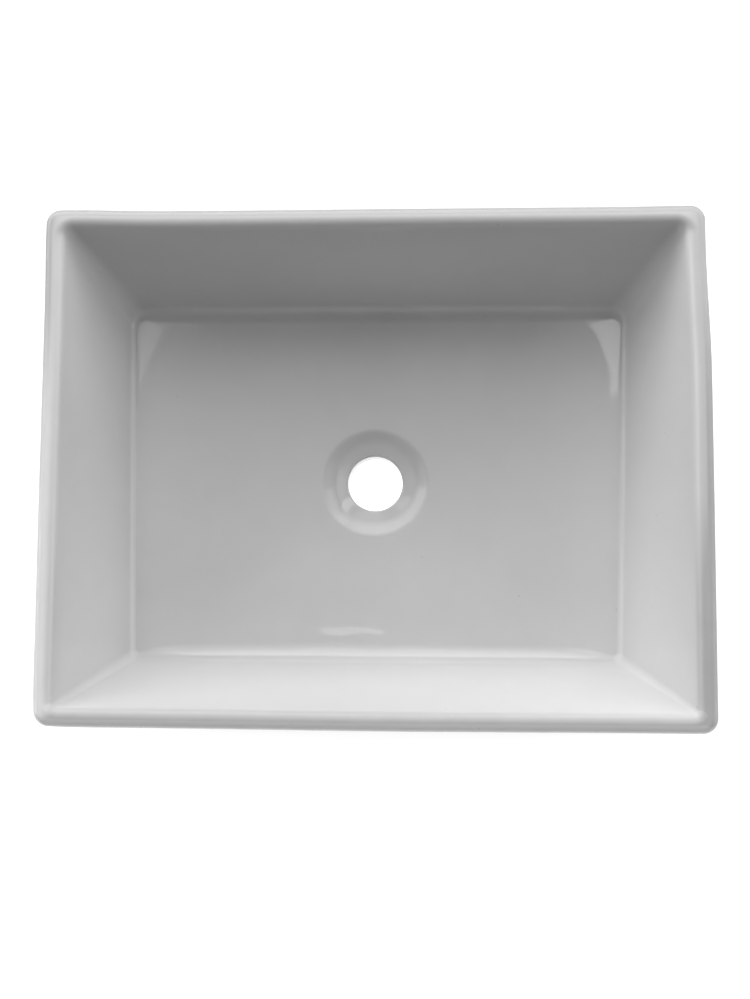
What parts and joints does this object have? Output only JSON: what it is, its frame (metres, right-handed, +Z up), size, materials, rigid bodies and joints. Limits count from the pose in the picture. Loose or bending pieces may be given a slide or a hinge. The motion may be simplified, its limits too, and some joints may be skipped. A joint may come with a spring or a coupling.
{
  "type": "countertop basin",
  "caption": "Rectangular white glazed ceramic countertop basin with tapered walls, a thin soft rim and a round waste outlet in a shallow dish, on rubber seals and soft feet.",
  "frame": {"origin": "on the counter, under the middle of the basin and of its waste outlet", "axes": "+X along the long side to the right, +Y to the back, +Z up out of the counter"},
  "size_m": [0.4828, 0.3748, 0.14],
  "materials": {
    "glaze": "gloss grey-white glaze over vitreous china",
    "seal": "matte closed-cell rubber",
    "pad": "satin soft silicone"
  },
  "bodies": {
    "root": {"basin_body": "glaze", "base_gasket": "seal", "drain_gasket": "seal", "foot_pad_front_left": "pad", "foot_pad_front_right": "pad", "foot_pad_rear_left": "pad", "foot_pad_rear_right": "pad"}
  },
  "joints": []
}
